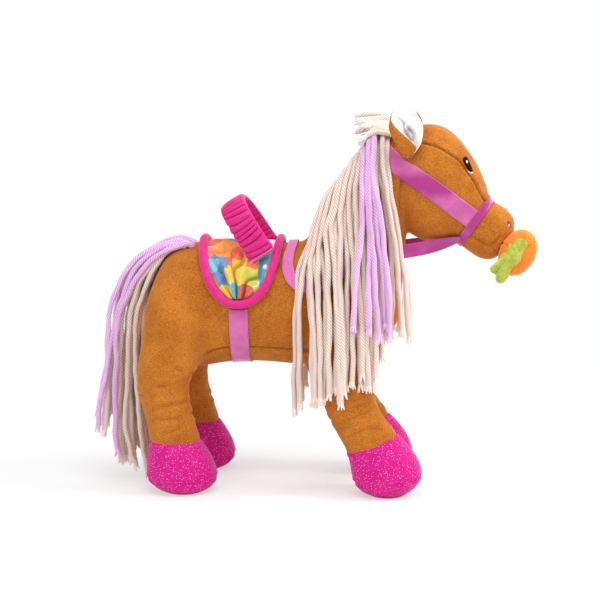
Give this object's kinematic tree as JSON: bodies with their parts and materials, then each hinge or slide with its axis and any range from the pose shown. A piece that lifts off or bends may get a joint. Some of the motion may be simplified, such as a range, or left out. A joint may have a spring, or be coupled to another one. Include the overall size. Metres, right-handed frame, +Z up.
{
  "type": "plush toy horse",
  "caption": "Standing stuffed toy horse with yarn mane and tail, printed saddle with a gathered elastic doll belt, ribbon bridle and reins, and a soft carrot held at the mouth by magnets.",
  "frame": {"origin": "on the floor under the middle of the toy's bounding box", "axes": "+X the way the horse faces, +Y to the horse's left, +Z up"},
  "size_m": [0.4, 0.1473, 0.3406],
  "materials": {
    "plush": "short tan velour plush",
    "glitter_plush": "hot pink cloth with silver glitter dots",
    "white_plush": "short white plush",
    "eye_thread": "satin stitch embroidery thread",
    "cream_yarn": "plied matte cream yarn",
    "lilac_yarn": "plied matte lilac yarn",
    "saddle_print": "white cloth with a many-coloured print",
    "pink_cloth": "smooth hot pink woven cloth",
    "elastic_tape": "white woven elastic tape",
    "satin_ribbon": "glossy orchid satin ribbon",
    "carrot_cloth": "orange short plush",
    "green_felt": "yellow-green felt",
    "magnet_metal": "nickel-plated disc"
  },
  "bodies": {
    "toy": {"torso": "plush", "neck": "plush", "head": "plush", "hind_leg_right": "plush", "hind_leg_left": "plush", "fore_leg_right": "plush", "fore_leg_left": "plush", "hind_hoof_right": "glitter_plush", "hind_hoof_left": "glitter_plush", "fore_hoof_right": "glitter_plush", "fore_hoof_left": "glitter_plush", "hind_sole_right": "glitter_plush", "hind_sole_left": "glitter_plush", "fore_sole_right": "glitter_plush", "fore_sole_left": "glitter_plush", "eye_right": "eye_thread", "eye_left": "eye_thread", "nostril_right": "eye_thread", "nostril_left": "eye_thread", "mouth_magnet": "magnet_metal", "mane_right": "cream_yarn", "mane_left": "cream_yarn", "mane_lilac": "lilac_yarn", "forelock": "cream_yarn", "saddle_pad": "saddle_print", "saddle_piping": "pink_cloth", "girth_strap": "satin_ribbon", "noseband": "satin_ribbon", "cheek_strap": "satin_ribbon", "reins": "satin_ribbon"},
    "carrot_toy": {"carrot": "carrot_cloth", "carrot_greens": "green_felt", "carrot_magnet": "magnet_metal"},
    "belt": {"belt_casing": "pink_cloth", "belt_elastic": "elastic_tape"},
    "tail": {"tail_cream": "cream_yarn", "tail_lilac": "lilac_yarn"},
    "right_ear": {"ear_right": "plush", "ear_lining_right": "white_plush"},
    "left_ear": {"ear_left": "plush", "ear_lining_left": "white_plush"}
  },
  "joints": [
    {"name": "carrot_pull", "type": "slide", "parent": "toy", "child": "carrot_toy", "axis": [0.9013, 0, -0.4332], "range_m": [0, 0.08]},
    {"name": "belt_fold", "type": "hinge", "parent": "toy", "child": "belt", "pos_m": [-0.05208, 0, 0.21945], "axis": [0, 1, 0], "range_deg": [-24, 50], "stiffness_Nm_per_rad": 0.006},
    {"name": "tail_lift", "type": "hinge", "parent": "toy", "child": "tail", "pos_m": [-0.11194, 0, 0.22098], "axis": [0, 1, 0], "range_deg": [0, 60]},
    {"name": "ear_right_flick", "type": "hinge", "parent": "toy", "child": "right_ear", "pos_m": [0.08562, -0.024, 0.30413], "axis": [0, 1, 0], "range_deg": [-6, 14], "stiffness_Nm_per_rad": 0.004},
    {"name": "ear_left_flick", "type": "hinge", "parent": "toy", "child": "left_ear", "pos_m": [0.08562, 0.024, 0.30413], "axis": [0, 1, 0], "range_deg": [-6, 14], "stiffness_Nm_per_rad": 0.004}
  ]
}
